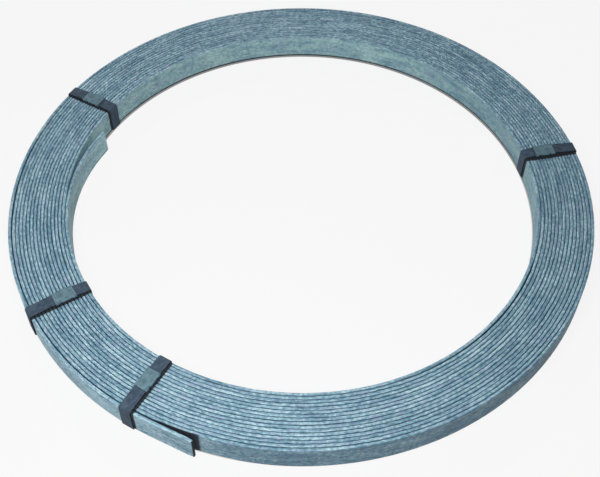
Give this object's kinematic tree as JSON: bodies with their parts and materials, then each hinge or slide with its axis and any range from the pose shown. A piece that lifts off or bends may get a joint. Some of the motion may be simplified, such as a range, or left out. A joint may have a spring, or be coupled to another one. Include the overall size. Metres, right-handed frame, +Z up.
{
  "type": "coil of galvanised steel strip",
  "caption": "Flat ring coil of galvanised steel strip wound on edge, with a free inner and outer end, tied by crimped steel straps, lying ready to be drawn off.",
  "frame": {"origin": "on the axis of the coil, at the floor it lies on", "axes": "+Z up along the axis of the coil, +X to the right and +Y to the back as the picture shows it"},
  "size_m": [0.6339, 0.6314, 0.0344],
  "materials": {
    "galvanised_strip": "hot-dip zinc, dull blue-grey with fine mottling",
    "steel_strapping": "dark blued strapping, satin",
    "strap_seal": "zinc plated sheet, satin"
  },
  "bodies": {
    "root": {"coil": "galvanised_strip", "front_strap_band": "steel_strapping", "front_strap_seal": "strap_seal", "left_strap_band": "steel_strapping", "left_strap_seal": "strap_seal", "rear_strap_band": "steel_strapping", "rear_strap_seal": "strap_seal", "right_strap_band": "steel_strapping", "right_strap_seal": "strap_seal"}
  },
  "joints": []
}
